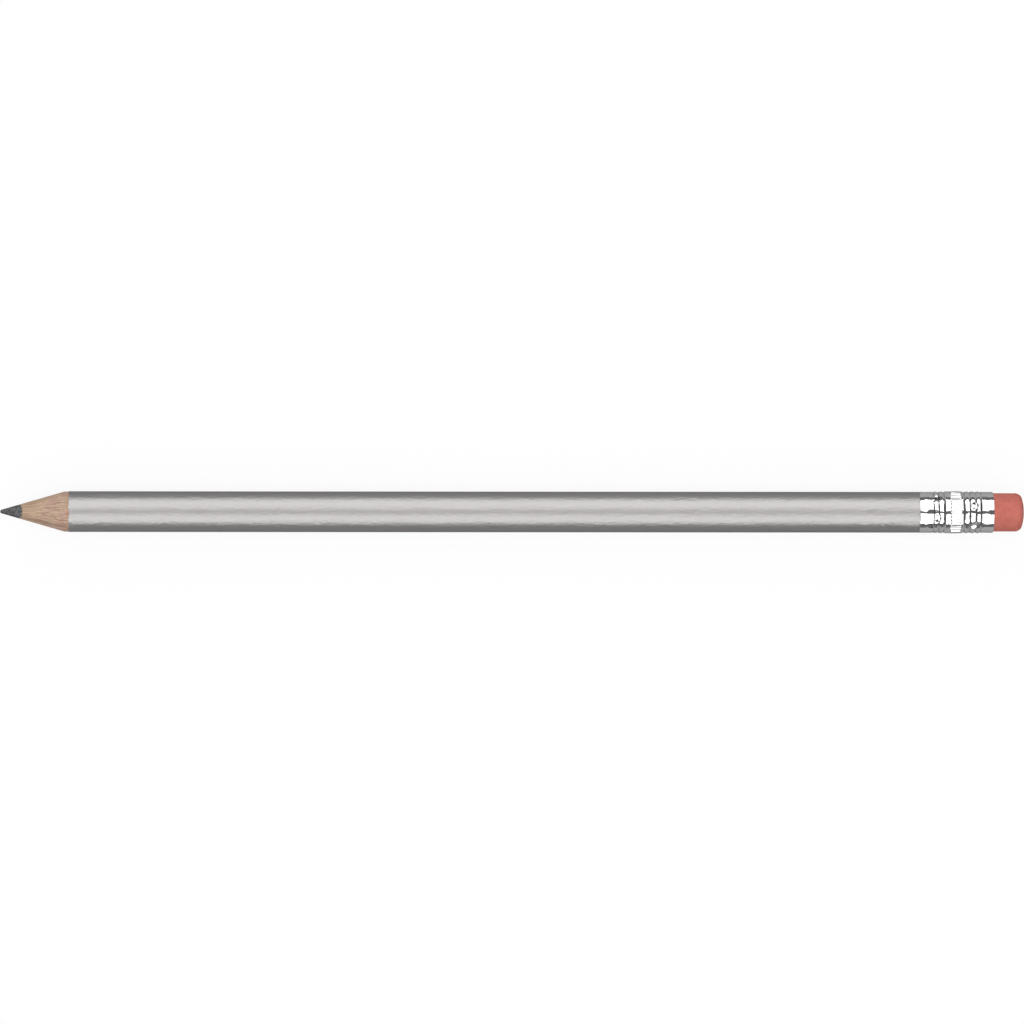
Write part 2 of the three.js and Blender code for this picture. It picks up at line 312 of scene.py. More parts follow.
# %% Set up the light
BOX_NEAR = 11.6
BOX_FAR_LEFT = 75.0
BOX_FAR_RIGHT = 66.3
INNER_RIM = 4.6
OUTER_RIM = 7.7
BOX_DISTANCE = 2.0
BOX_LENGTH = 3.6
BOX_BRIGHTNESS = 1.35
INNER_BRIGHTNESS = 2.4
OUTER_BRIGHTNESS = 2.3
ROOM_GREY = (0.115, 0.115, 0.115, 1.0)


def long_lamp(name, side, near, far, brightness):
    """A long lamp seen from the pencil between two angles off the vertical, on one side of it."""
    tilt = math.radians((near + far) / 2)
    width = 2 * BOX_DISTANCE * math.tan(math.radians((far - near) / 2))
    across = side * BOX_DISTANCE * math.sin(tilt)
    above = AXIS_Z + BOX_DISTANCE * math.cos(tilt)
    bpy.ops.object.light_add(type="AREA", location=(0, across, above), rotation=(-side * tilt, 0, 0))
    lamp = bpy.context.object
    lamp.name = name
    lamp.data.shape = "RECTANGLE"
    lamp.data.size = BOX_LENGTH
    lamp.data.size_y = width
    lamp.data.energy = brightness * math.pi * width * BOX_LENGTH
    lamp.visible_camera = False
    print(f"{name}: {BOX_LENGTH:.1f} by {width:.2f} m, {lamp.data.energy:.1f} W")


for name, side, far in (("left", 1, BOX_FAR_LEFT), ("right", -1, BOX_FAR_RIGHT)):
    inner = BOX_NEAR + INNER_RIM
    outer = far - OUTER_RIM
    long_lamp(f"inner_rim_{name}", side, BOX_NEAR, inner, INNER_BRIGHTNESS)
    long_lamp(f"softbox_{name}", side, inner, outer, BOX_BRIGHTNESS)
    long_lamp(f"outer_rim_{name}", side, outer, far, OUTER_BRIGHTNESS)
world = bpy.data.worlds.new("dim_room")
world.use_nodes = True
world.node_tree.nodes["Background"].inputs["Color"].default_value = ROOM_GREY
bpy.context.scene.world = world

# %% [markdown]
# ## Shared patterns
# Three effects come back on several pieces, so each is a node group. The first turns a place on the pencil
# into a place on an unrolled sheet: how far along, and in which direction from the axis. A direction has no
# seam, and a pattern drawn by it runs straight along the barrel and fans out over the cone, as grain does.
# The second makes scattered specks. The third gives the ragged edge where graphite has rubbed on the wood.

# %% A group that unrolls the pencil
LEAST_RADIUS = 0.001 * MM


def start_group(name, inputs, outputs):
    """A new node group with named sockets, given as name and type."""
    group = bpy.data.node_groups.new(name, "ShaderNodeTree")
    for socket, kind in inputs:
        group.interface.new_socket(name=socket, in_out="INPUT", socket_type=f"NodeSocket{kind}")
    for socket, kind in outputs:
        group.interface.new_socket(name=socket, in_out="OUTPUT", socket_type=f"NodeSocket{kind}")
    return group, group.nodes.new("NodeGroupInput").outputs, group.nodes.new("NodeGroupOutput").inputs


def use_group(tree, group, **values):
    """Place a group in a tree, set its inputs, and hand back its outputs."""
    made = tree.nodes.new("ShaderNodeGroup")
    made.node_tree = group
    for name, value in values.items():
        put(tree, made.inputs[name], value)
    return made.outputs


unroll, given, result = start_group(
    "unrolled_pencil",
    [("Place", "Vector"), ("Stretch", "Float")],
    [("Sheet", "Vector"), *[(name, "Float") for name in ("Along", "Radius", "Sideways", "Upward")]],
)
centre = unroll.nodes.new("ShaderNodeVectorMath")
centre.operation = "SUBTRACT"
put(unroll, centre.inputs[0], given["Place"])
centre.inputs[1].default_value = (0, 0, AXIS_Z)
parts = unroll.nodes.new("ShaderNodeSeparateXYZ")
put(unroll, parts.inputs["Vector"], centre.outputs["Vector"])
across_squared = math_of(unroll, "POWER", parts.outputs["Y"], 2.0)
upward_squared = math_of(unroll, "POWER", parts.outputs["Z"], 2.0)
radius = math_of(unroll, "SQRT", math_of(unroll, "ADD", across_squared, upward_squared))
safe_radius = math_of(unroll, "MAXIMUM", radius, LEAST_RADIUS)
sideways = math_of(unroll, "DIVIDE", parts.outputs["Y"], safe_radius)
upward = math_of(unroll, "DIVIDE", parts.outputs["Z"], safe_radius)
stretched = math_of(unroll, "MULTIPLY", given["Stretch"], BARREL_RADIUS)
sheet = unroll.nodes.new("ShaderNodeCombineXYZ")
put(unroll, sheet.inputs["X"], math_of(unroll, "DIVIDE", parts.outputs["X"], stretched))
put(unroll, sheet.inputs["Y"], sideways)
put(unroll, sheet.inputs["Z"], upward)
put(unroll, result["Sheet"], sheet.outputs["Vector"])
put(unroll, result["Along"], parts.outputs["X"])
put(unroll, result["Radius"], radius)
put(unroll, result["Sideways"], sideways)
put(unroll, result["Upward"], upward)
print("group:", unroll.name)

# %% A group that scatters specks
SPECK_SOFTNESS = 0.04

specks, given, result = start_group(
    "scattered_specks",
    [("Vector", "Vector"), ("Scale", "Float"), ("Level", "Float")],
    [("Mask", "Float")],
)
grains = noise(specks, given["Vector"], given["Scale"], detail=1.0)
top = math_of(specks, "ADD", given["Level"], SPECK_SOFTNESS)
put(specks, result["Mask"], remap(specks, grains, given["Level"], top))
print("group:", specks.name)

# %% A group for graphite rubbed on wood
SMEAR_X = cone_x(CORE_RADIUS) - 0.12 * MM
SMEAR_RISE = 0.95 * MM
SMEAR_RAGGED = 1.5 * MM
SMEAR_EDGE = 0.05 * MM
SMEAR_GRAIN = 6.5
SMEAR_STRETCH = 6.0

smear, given, result = start_group("graphite_smear", [("Place", "Vector")], [("Mask", "Float")])
unrolled = use_group(smear, unroll, Place=given["Place"], Stretch=SMEAR_STRETCH)
ragged = noise(smear, unrolled["Sheet"], SMEAR_GRAIN, detail=3.0, roughness=0.6)
ragged = math_of(smear, "SUBTRACT", ragged, 0.5)
border = math_of(smear, "MULTIPLY_ADD", ragged, SMEAR_RAGGED)
border.node.inputs[2].default_value = SMEAR_X
border = math_of(smear, "ADD", border, math_of(smear, "MULTIPLY", unrolled["Upward"], SMEAR_RISE))
past_border = math_of(smear, "SUBTRACT", unrolled["Along"], border)
put(smear, result["Mask"], remap(smear, past_border, -SMEAR_EDGE, SMEAR_EDGE, 1.0, 0.0))
print("group:", smear.name)

# %% [markdown]
# ## Graphite core
# The lead of a pencil is a baked rod of graphite and clay, sharpened to a cone with a rounded tip. A lathe
# is the natural tool for it, and for most of the other pieces. By hand one merges a new plane to a single
# point, extrudes that point along half of the outline, and spins the line about the axis. A cylinder with a
# moved end would do for the rod, but not for the tangent between the tip's ball and the cone.

# %% A helper that turns an outline
WELD = 0.0005 * MM
CREASE = 35


def select_all(action):
    bpy.ops.mesh.select_all(action=action)


def turned(name, outline, sides):
    """Extrude a point along an outline of (x, radius) places, and spin it about the pencil's axis."""
    bpy.ops.object.select_all(action="DESELECT")
    bpy.ops.mesh.primitive_plane_add(size=MM)
    piece = bpy.context.object
    piece.name = name
    piece.data.name = name
    bpy.ops.object.mode_set(mode="EDIT")
    bpy.ops.mesh.merge(type="CENTER")
    x, radius = outline[0]
    bpy.ops.transform.translate(value=(x, 0, AXIS_Z + radius))
    for (x, radius), (next_x, next_radius) in zip(outline, outline[1:]):
        step = (next_x - x, 0, next_radius - radius)
        bpy.ops.mesh.extrude_region_move(TRANSFORM_OT_translate={"value": step})
    select_all("SELECT")
    bpy.ops.mesh.remove_doubles(threshold=WELD)
    bpy.ops.mesh.spin(steps=sides, angle=2 * math.pi, center=(0, 0, AXIS_Z), axis=(1, 0, 0))
    close_mesh()
    bpy.ops.object.mode_set(mode="OBJECT")
    return piece


def close_mesh():
    """Merge the doubled seam and the poles, and point all faces outwards."""
    select_all("SELECT")
    bpy.ops.mesh.remove_doubles(threshold=WELD)
    bpy.ops.mesh.normals_make_consistent(inside=False)


def finish_piece(piece, node, material, crease=CREASE):
    """Shade a piece, give it its finish, and hang it in the frame in place of its CAD node."""
    bpy.ops.object.select_all(action="DESELECT")
    piece.select_set(True)
    bpy.context.view_layer.objects.active = piece
    bpy.ops.object.shade_smooth_by_angle(angle=math.radians(crease))
    piece.data.materials.clear()
    piece.data.materials.append(material)
    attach(piece, "root")
    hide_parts(node)
    print(f"{piece.name}: {len(piece.data.polygons)} faces, for {node}")


# %% Turn the lead
TIP_STEPS = 10
CORE_SIDES = 96

tip_turn = math.pi / 2 - HALF_ANGLE
tip_angles = [tip_turn * step / TIP_STEPS for step in range(TIP_STEPS + 1)]
core_outline = [
    (TIP_X + TIP_RADIUS * (1 - math.cos(angle)), TIP_RADIUS * math.sin(angle)) for angle in tip_angles
]
core_outline += [(cone_x(CORE_RADIUS), CORE_RADIUS), (core_high.x, CORE_RADIUS), (core_high.x, 0)]
core = turned("sharpened_lead", core_outline, CORE_SIDES)
print("lead outline:", len(core_outline), "points")

# %% [markdown]
# Sharpened graphite is a dark grey with a dull shine. Fine rings from the blade run round the cone. Small
# light grey specks are painted into the colour as glints, where grains would catch the light.

# %% Graphite finish
GRAPHITE_DARK = (0.034, 0.036, 0.040)
GRAPHITE_GREY = (0.135, 0.137, 0.142)
GRAPHITE_GLINT = (0.33, 0.33, 0.34)
GRAPHITE_METALLIC = 0.15
MOTTLE_SCALE = 2.6 / MM
GLINT_SCALE = 6.5 / MM
GLINT_LEVEL = 0.66
BLADE_STRETCH = 0.04
BLADE_DEPTH = 0.02 * MM


def graphite_and_glints(tree, place):
    """Mottled grey with a few painted glints, light grey specks, for the lead and for where it has rubbed
    off.
    """
    mottle = noise(tree, place, MOTTLE_SCALE, detail=3.0, roughness=0.65)
    mottle = remap(tree, mottle, 0.40, 0.60)
    # Painted glints: light grey specks in the colour stand for grains catching the light.
    painted_glints = use_group(tree, specks, Vector=place, Scale=GLINT_SCALE, Level=GLINT_LEVEL)["Mask"]
    return mixed(tree, painted_glints, mixed(tree, mottle, GRAPHITE_DARK, GRAPHITE_GREY), GRAPHITE_GLINT)


graphite, tree, shader, place = start_material("graphite")
rings = use_group(tree, unroll, Place=place, Stretch=BLADE_STRETCH)["Sheet"]
blade_marks = noise(tree, rings, 1.4, 2.0)
put(tree, shader.inputs["Base Color"], graphite_and_glints(tree, place))
put(tree, shader.inputs["Roughness"], remap(tree, blade_marks, 0.3, 0.7, 0.36, 0.52))
put(tree, shader.inputs["Normal"], bump(tree, blade_marks, BLADE_DEPTH))
shader.inputs["Metallic"].default_value = GRAPHITE_METALLIC
finish_piece(core, "graphite_core", graphite)

# %% [markdown]
# ## Ferrule outline
# The ferrule is a sheet-metal tube. From its mouth follow a plain collar, a row of rolled beads, a raised
# band with teeth, a second row of beads and another collar. Between two valleys a bead is a shallow arch,
# which a parabola draws well. Steeper sides than these would mirror each other and show a pale line in the
# valleys. The outline comes first, because the wood and the eraser inside follow it too.

# %% Draw the ferrule's outline
FERRULE_WALL = 0.2 * MM
COLLAR_RADIUS = BARREL_RADIUS + 0.01 * MM
FRONT_BEAD_RADIUS = COLLAR_RADIUS + 0.06 * MM
REAR_BEAD_RADIUS = COLLAR_RADIUS + 0.08 * MM
VALLEY_RADIUS = COLLAR_RADIUS - 0.085 * MM
BAND_RADIUS = COLLAR_RADIUS + 0.09 * MM
FRONT_SHOULDER = 0.24 * MM
REAR_SHOULDER = 0.32 * MM
COLLAR_SHOULDER = 0.14 * MM
FRONT_VALLEYS = [2.52 * MM, 3.46 * MM, 4.43 * MM]
REAR_VALLEYS = [8.08 * MM, 9.10 * MM, 10.18 * MM, 11.10 * MM]
BAND_START = 5.52 * MM
BAND_END = 7.50 * MM
FRONT_RINGS = (0.18 * MM, 0.28 * MM)
BACK_RINGS = (0.10 * MM, 0.22 * MM)
MOUTH_FLARE = 0.02 * MM
MOUTH_LENGTH = 0.6 * MM
EDGE_ROUND = 0.05 * MM
OUTER_STEPS = (14, 0.2 * MM)
INNER_STEPS = (6, 1.0 * MM)
HELD_STEPS = (8, 0.25 * MM)


def collar(start, end, step):
    """Evenly spaced stations on a plain collar."""
    count = max(1, round((end - start) / step))
    return [(start + (end - start) * i / count, COLLAR_RADIUS) for i in range(count + 1)]


def beads(valleys, bead_radius, steps):
    """Arches between neighbouring valleys."""
    points = [(valleys[0], VALLEY_RADIUS)]
    for start, end in zip(valleys, valleys[1:]):
        for step in range(1, steps + 1):
            share = step / steps
            rise = 4 * share * (1 - share) * (bead_radius - VALLEY_RADIUS)
            points.append((start + (end - start) * share, VALLEY_RADIUS + rise))
    return points


def ferrule_outline(bead_steps, collar_step):
    """The outer face from the mouth to the rear edge, as (station, radius) from the mouth. A bead is
    drawn in a number of steps, and a plain collar in steps of a given length."""
    rising = [BAND_START + ring for ring in (0, *FRONT_RINGS)]
    falling = [BAND_END - ring for ring in (*reversed(BACK_RINGS), 0)]
    return [
        (0, COLLAR_RADIUS + MOUTH_FLARE - EDGE_ROUND / 2),
        (EDGE_ROUND, COLLAR_RADIUS + MOUTH_FLARE),
        *collar(MOUTH_LENGTH, FRONT_VALLEYS[0] - COLLAR_SHOULDER, collar_step),
        *beads(FRONT_VALLEYS, FRONT_BEAD_RADIUS, bead_steps),
        (FRONT_VALLEYS[-1] + FRONT_SHOULDER, BAND_RADIUS),
        *[(station, BAND_RADIUS) for station in (*rising, *falling)],
        (REAR_VALLEYS[0] - REAR_SHOULDER, BAND_RADIUS),
        *beads(REAR_VALLEYS, REAR_BEAD_RADIUS, bead_steps),
        *collar(REAR_VALLEYS[-1] + COLLAR_SHOULDER, FERRULE_LENGTH - EDGE_ROUND, collar_step),
        (FERRULE_LENGTH, COLLAR_RADIUS - EDGE_ROUND),
    ]


def gripped(start, end, radius, fit):
    """Outline of a round piece held in the ferrule, notched where the valleys bite into it."""
    held = []
    for station, outer in ferrule_outline(*HELD_STEPS):
        if start < station < end:
            held.append((MOUTH_X + station, min(radius, outer - FERRULE_WALL - fit)))
    return held


print("ferrule outline:", len(ferrule_outline(*OUTER_STEPS)), "points")

# %% [markdown]
# ## Punched stakes
# A punch has dented the ferrule in two rows, one into the wood and one into the eraser. It flattens the
# beads where it lands, so the points there are first smoothed out. Then a single one is pulled inwards with
# proportional editing, and the smooth falloff leaves a cup with a soft rim, as thin sheet does over wood or
# rubber. A boolean cut with a ball would leave a sharp rim. The punches were never set quite alike, so the
# dents of a row differ in depth. The pieces inside get the same dents.

# %% A helper that punches a row of dents
STAKE_RADIUS = 0.95 * MM
FRONT_DEPTHS = [0.24 * MM, 0.14 * MM, 0.22 * MM, 0.26 * MM, 0.20 * MM, 0.24 * MM]
REAR_DEPTHS = [0.33 * MM, 0.27 * MM, 0.20 * MM, 0.26 * MM, 0.30 * MM, 0.24 * MM]
STAKE_FLAT = 0.7 * MM
STAKE_SMOOTHING = 60
FRONT_STAKE_X = MOUTH_X + 3.10 * MM
REAR_STAKE_X = MOUTH_X + 9.88 * MM
FRONT_FIRST_TURN = -17
REAR_FIRST_TURN = -41
FRONT_STAKES = (FRONT_STAKE_X, FRONT_BEAD_RADIUS, FRONT_FIRST_TURN, FRONT_DEPTHS)
REAR_STAKES = (REAR_STAKE_X, REAR_BEAD_RADIUS, REAR_FIRST_TURN, REAR_DEPTHS)


def choose(piece, indices):
    """Make a piece active, with only these of its points selected, and enter edit mode."""
    bpy.ops.object.select_all(action="DESELECT")
    piece.select_set(True)
    bpy.context.view_layer.objects.active = piece
    bpy.ops.object.mode_set(mode="EDIT")
    select_all("DESELECT")
    bpy.ops.object.mode_set(mode="OBJECT")
    for index in indices:
        piece.data.vertices[index].select = True
    bpy.ops.object.mode_set(mode="EDIT")


def nearest_point(piece, target):
    return min(piece.data.vertices, key=lambda vertex: (vertex.co - target).length_squared)


def pull(value, falloff, reach):
    """Move the selected points, and with proportional editing those around them."""
    bpy.ops.transform.translate(
        value=value,
        use_proportional_edit=True,
        proportional_edit_falloff=falloff,
        proportional_size=reach,
    )
    bpy.ops.object.mode_set(mode="OBJECT")


def punch_row(piece, row):
    """Dent a piece inwards at even turns about the axis. A row is a station along X, the radius of the
    beads there, the turn of its first dent from straight up towards +Y, and the depth of each dent."""
    x, bead_radius, first_turn, depths = row
    punched = 0
    for i, depth in enumerate(depths):
        turn = math.radians(first_turn + 360 * i / len(depths))
        outward = Vector((0, math.sin(turn), math.cos(turn)))
        target = Vector((x, 0, AXIS_Z)) + outward * bead_radius
        hit = [v.index for v in piece.data.vertices if (v.co - target).length < STAKE_FLAT]
        if hit:
            choose(piece, hit)
            bpy.ops.mesh.vertices_smooth(factor=0.5, repeat=STAKE_SMOOTHING)
            bpy.ops.object.mode_set(mode="OBJECT")
            choose(piece, [nearest_point(piece, target).index])
            pull(-depth * outward, "SMOOTH", STAKE_RADIUS)
            punched += 1
    print(f"{piece.name}: {punched} dents at {x / MM:.2f} mm")


# %% [markdown]
# ## Cedar casing
# The casing is two slats of cedar, glued round the lead and turned as one. Its outline is that of a tube:
# out along the sharpened cone, along the barrel, down to the tenon inside the ferrule, and back through the
# groove. One spin makes the whole tube, and a bisect with fill cuts it along the glue line. So both halves
# meet exactly, which two separately modelled halves would not.

# %% Turn and split the casing
CASING_SIDES = 160
TENON_FIT = 0.02 * MM
TENON_RADIUS = COLLAR_RADIUS - FERRULE_WALL - TENON_FIT

casing_outline = [
    (cone_x(GROOVE_RADIUS), GROOVE_RADIUS),
    (cone_x(CASING_RADIUS), CASING_RADIUS),
    (SHOULDER_X, CASING_RADIUS),
    (SHOULDER_X, TENON_RADIUS),
    *gripped(0, TENON_END_X - MOUTH_X, TENON_RADIUS, TENON_FIT),
    (TENON_END_X, TENON_RADIUS),
    (TENON_END_X, GROOVE_RADIUS),
    (cone_x(GROOVE_RADIUS), GROOVE_RADIUS),
]


def casing_half(name, side):
    """The half of the turned casing on one side of the glue line."""
    half = turned(name, casing_outline, CASING_SIDES)
    bpy.ops.object.mode_set(mode="EDIT")
    select_all("SELECT")
    bpy.ops.mesh.bisect(
        plane_co=(0, side * GLUE_THICKNESS / 2, 0),
        plane_no=(0, side, 0),
        use_fill=True,
        clear_inner=True,
    )
    close_mesh()
    bpy.ops.object.mode_set(mode="OBJECT")
    punch_row(half, FRONT_STAKES)
    return half


upper_slat = casing_half("cedar_slat_left", 1)
lower_slat = casing_half("cedar_slat_right", -1)

# %% [markdown]
# Cut cedar is a warm tan with fine long streaks. On the cone the streaks fan out from the tip. Short dark
# pores lie between them, and honey and pink patches change slowly over the surface. The two slats come from
# different boards, so each has its own tone, and the lower one shows a brown band of late wood along its
# side. The blade has rubbed graphite into the wood near the lead, and at the lacquer's edge the cut wood
# shows as an orange rim.

# %% Cedar finish
CEDAR_TAN = (0.560, 0.390, 0.280)
CEDAR_CREAM = (0.690, 0.530, 0.370)
CEDAR_DARK = (0.345, 0.212, 0.147)
CEDAR_PINK = (0.575, 0.345, 0.285)
CEDAR_HONEY = (0.545, 0.378, 0.238)
CEDAR_BROWN = (0.255, 0.155, 0.108)
CEDAR_PORE = (0.20, 0.115, 0.080)
CEDAR_RIM = (0.50, 0.275, 0.150)
HONEY_END = cone_x(GROOVE_RADIUS) + 5.5 * MM
HONEY_FADE = 3.5 * MM
RIM_START = LACQUER_X - 0.25 * MM
RIM_END = LACQUER_X + 0.1 * MM
LATE_WOOD = -0.73
LATE_WOOD_HALF = 0.13
LATE_WOOD_CORE = 0.02
LATE_WOOD_WAVER = 0.5
HONEY_SHARE = 0.7
BAND_SHARE = 0.7
CREAM_SHARE = 0.85
LATE_WOOD_SHARE = 0.45
PORE_SHARE = 0.5
RIM_SHARE = 0.42
GRAIN_RUN = 12.0
STREAK_SCALE = 17.0
BAND_SCALE = 5.5
PATCH_SCALE = 0.55 / MM
PORE_RUN = 7.0
PORE_SCALE = 34.0
PORE_LEVEL = 0.60
STREAK_DEPTH = 0.04 * MM


def cedar_finish(name, pinkness, darkness):
    """Streaked cedar, with a share of pink patches and of dark streaks for one board."""
    material, tree, shader, place = start_material(name)
    unrolled = use_group(tree, unroll, Place=place, Stretch=GRAIN_RUN)
    streaks = noise(tree, unrolled["Sheet"], STREAK_SCALE, detail=4.0, roughness=0.70)
    bands = noise(tree, unrolled["Sheet"], BAND_SCALE)
    honey = remap(tree, unrolled["Along"], HONEY_END - HONEY_FADE, HONEY_END, 1.0, 0.0)
    patches = remap(tree, noise(tree, place, PATCH_SCALE), 0.46, 0.58, 0.0, pinkness)
    colour = mixed(tree, patches, CEDAR_TAN, CEDAR_PINK)
    colour = mixed(tree, math_of(tree, "MULTIPLY", honey, HONEY_SHARE), colour, CEDAR_HONEY)
    colour = mixed(tree, remap(tree, bands, 0.44, 0.30, 0.0, BAND_SHARE * darkness), colour, CEDAR_DARK)
    colour = mixed(tree, remap(tree, streaks, 0.51, 0.61, 0.0, CREAM_SHARE), colour, CEDAR_CREAM)
    colour = mixed(tree, remap(tree, streaks, 0.48, 0.38, 0.0, darkness), colour, CEDAR_DARK)
    off_band = math_of(tree, "ABSOLUTE", math_of(tree, "SUBTRACT", unrolled["Sideways"], LATE_WOOD))
    wavering = math_of(tree, "MULTIPLY_ADD", math_of(tree, "SUBTRACT", bands, 0.5), LATE_WOOD_WAVER)
    put(tree, wavering.node.inputs[2], off_band)
    late = remap(tree, wavering, LATE_WOOD_CORE, LATE_WOOD_HALF, LATE_WOOD_SHARE, 0.0)
    colour = mixed(tree, late, colour, CEDAR_BROWN)
    pore_sheet = use_group(tree, unroll, Place=place, Stretch=PORE_RUN)["Sheet"]
    pores = use_group(tree, specks, Vector=pore_sheet, Scale=PORE_SCALE, Level=PORE_LEVEL)["Mask"]
    colour = mixed(tree, math_of(tree, "MULTIPLY", pores, PORE_SHARE), colour, CEDAR_PORE)
    rim = remap(tree, unrolled["Along"], RIM_START, RIM_END, 0.0, RIM_SHARE)
    colour = mixed(tree, rim, colour, CEDAR_RIM)
    rubbed = use_group(tree, smear, Place=place)["Mask"]
    # The rubbed graphite brings the lead's painted glints along.
    colour = mixed(tree, rubbed, colour, graphite_and_glints(tree, place))
    put(tree, shader.inputs["Base Color"], colour)
    put(tree, shader.inputs["Roughness"], remap(tree, streaks, 0.3, 0.7, 0.58, 0.72))
    put(tree, shader.inputs["Normal"], bump(tree, streaks, STREAK_DEPTH))
    return material


finish_piece(upper_slat, "casing_half_left", cedar_finish("cedar_light", 0.65, 0.75))
finish_piece(lower_slat, "casing_half_right", cedar_finish("cedar_pink", 0.80, 0.90))

# %% [markdown]
# ## Glue line
# The glue between the slats is only a thin brown line on the cone, and its shape in the CAD model is right,
# so the node stays and gets a finish. Round the lead it has soaked into the wood, looks like it, and is
# rubbed with graphite too.

# %% Glue finish
GLUE_BROWN = (0.24, 0.135, 0.085)
GLUE_DARK = (0.13, 0.075, 0.05)
GLUE_PATCHES = 1.8 / MM

glue, tree, shader, place = start_material("dried_glue")
patches = remap(tree, noise(tree, place, GLUE_PATCHES, detail=3.0), 0.35, 0.65)
colour = mixed(tree, patches, GLUE_DARK, GLUE_BROWN)
sideways = use_group(tree, unroll, Place=place, Stretch=1.0)["Sideways"]
round_lead = remap(tree, math_of(tree, "ABSOLUTE", sideways), 0.04, 0.07)
colour = mixed(tree, round_lead, colour, CEDAR_HONEY)
rubbed = use_group(tree, smear, Place=place)["Mask"]
# The rubbed graphite brings the lead's painted glints along.
colour = mixed(tree, rubbed, colour, graphite_and_glints(tree, place))
put(tree, shader.inputs["Base Color"], colour)
put(tree, shader.inputs["Roughness"], remap(tree, patches, 0.0, 1.0, 0.45, 0.65))
glue_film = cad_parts["glue_film"]
glue_film.data.materials.clear()
glue_film.data.materials.append(glue)
print("glue_film:", len(glue_film.data.polygons), "triangles kept from the CAD model")

# %% [markdown]
# ## Lacquer coat
# The barrel has been drawn through silver lacquer, which leaves a skin a few hundredths of a millimetre
# thick. Where the sharpener has cut it, its front edge is ragged, and on top it is cut a little further
# back. The coat is a turned ring with a softened edge. Its front points sit in a vertex group, and a Displace
# modifier with a cloudy texture moves that group along X. Then the top of the edge is pulled back with
# proportional editing. A noise in the material could only paint such an edge.

# %% Turn the coat and roughen its front edge
COAT_SIDES = 320
COAT_GAP = 0.01 * MM
COAT_ROUND = 0.02 * MM
EDGE_RINGS = (0.15 * MM, 0.4 * MM, 1.0 * MM)
RAGGED_DEPTH = 0.75 * MM
RAGGED_SIZE = 0.42 * MM
CUT_BACK = 0.22 * MM
CUT_REACH = 4.6 * MM
EDGE_INSET = 0.1 * MM

back_radius = CASING_RADIUS + COAT_GAP
edge_x = LACQUER_X + EDGE_INSET
coat_outline = [
    (edge_x, back_radius),
    (edge_x, BARREL_RADIUS - COAT_ROUND),
    (edge_x + COAT_ROUND, BARREL_RADIUS),
    *[(edge_x + offset, BARREL_RADIUS) for offset in EDGE_RINGS],
    (SHOULDER_X - COAT_ROUND, BARREL_RADIUS),
    (SHOULDER_X, BARREL_RADIUS - COAT_ROUND),
    (SHOULDER_X, back_radius),
    (edge_x, back_radius),
]
coat = turned("silver_coat", coat_outline, COAT_SIDES)


def cloud_displace(piece, size, strength, direction, group):
    """Move a vertex group of a piece by a cloudy texture, and apply the result."""
    clouds = bpy.data.textures.new(f"{piece.name}_clouds", "CLOUDS")
    clouds.noise_scale = size
    clouds.noise_depth = 2
    modifier = piece.modifiers.new("uneven", "DISPLACE")
    modifier.texture = clouds
    modifier.texture_coords = "LOCAL"
    modifier.direction = direction
    modifier.strength = strength
    modifier.mid_level = 0.5
    modifier.vertex_group = group.name
    bpy.ops.object.select_all(action="DESELECT")
    piece.select_set(True)
    bpy.context.view_layer.objects.active = piece
    bpy.ops.object.modifier_apply(modifier=modifier.name)


front = coat.vertex_groups.new(name="front_edge")
for vertex in coat.data.vertices:
    behind_edge = vertex.co.x - edge_x
    if behind_edge < EDGE_RINGS[1]:
        front.add([vertex.index], 1 - behind_edge / EDGE_RINGS[1], "REPLACE")
cloud_displace(coat, RAGGED_SIZE, RAGGED_DEPTH, "X", front)

# %% Cut the edge back on top
edge_top = Vector((edge_x, 0, AXIS_Z + BARREL_RADIUS))
choose(coat, [nearest_point(coat, edge_top).index])
pull((CUT_BACK, 0, 0), "SMOOTH", CUT_REACH)
front_x = [vertex.co.x for vertex in coat.data.vertices if vertex.co.x < edge_x + EDGE_RINGS[2]]
print(f"coat edge from {min(front_x) / MM:.2f} to {max(front_x) / MM:.2f} mm")

# %% [markdown]
# Silver lacquer is full of tiny flakes of aluminium, under a clear skin. The flakes mirror the room like
# satin metal, so the finish is metallic and fairly rough, and the skin is a coat that mirrors it sharply but
# faintly. The binder swallows light at low angles, so the specular tint, which colours a metal's edges, is a
# grey. The wood below is not quite flat. Its grain makes the edges of the reflected stripes ragged, and slow
# waves bend them. Both patterns are stretched along the barrel by a Mapping node.

# %% Lacquer finish
LACQUER_SILVER = (0.482, 0.465, 0.462)
LACQUER_SHADE = (0.474, 0.458, 0.455)
LACQUER_EDGE = (0.5, 0.5, 0.5, 1.0)
GRAIN_SIZE = 0.42 * MM
GRAIN_STRETCH = 1.6
GRAIN_SHARE = 0.8
WAVE_SIZE = 1.7 * MM
WAVE_STRETCH = 3.2
WAVE_SHARE = 0.5
UNEVEN_DEPTH = 0.11 * MM
CLOUD_SCALE = 2.2 / MM
LACQUER_METALLIC = 0.98
SKIN_ROUGHNESS = 0.08
SKIN_IOR = 1.4


def drawn_out(tree, place, size, stretch):
    """Coordinates for a pattern with grains of a given size, longer along the barrel."""
    made = tree.nodes.new("ShaderNodeMapping")
    put(tree, made.inputs["Vector"], place)
    made.inputs["Scale"].default_value = (1 / (size * stretch), 1 / size, 1 / size)
    return made.outputs["Vector"]


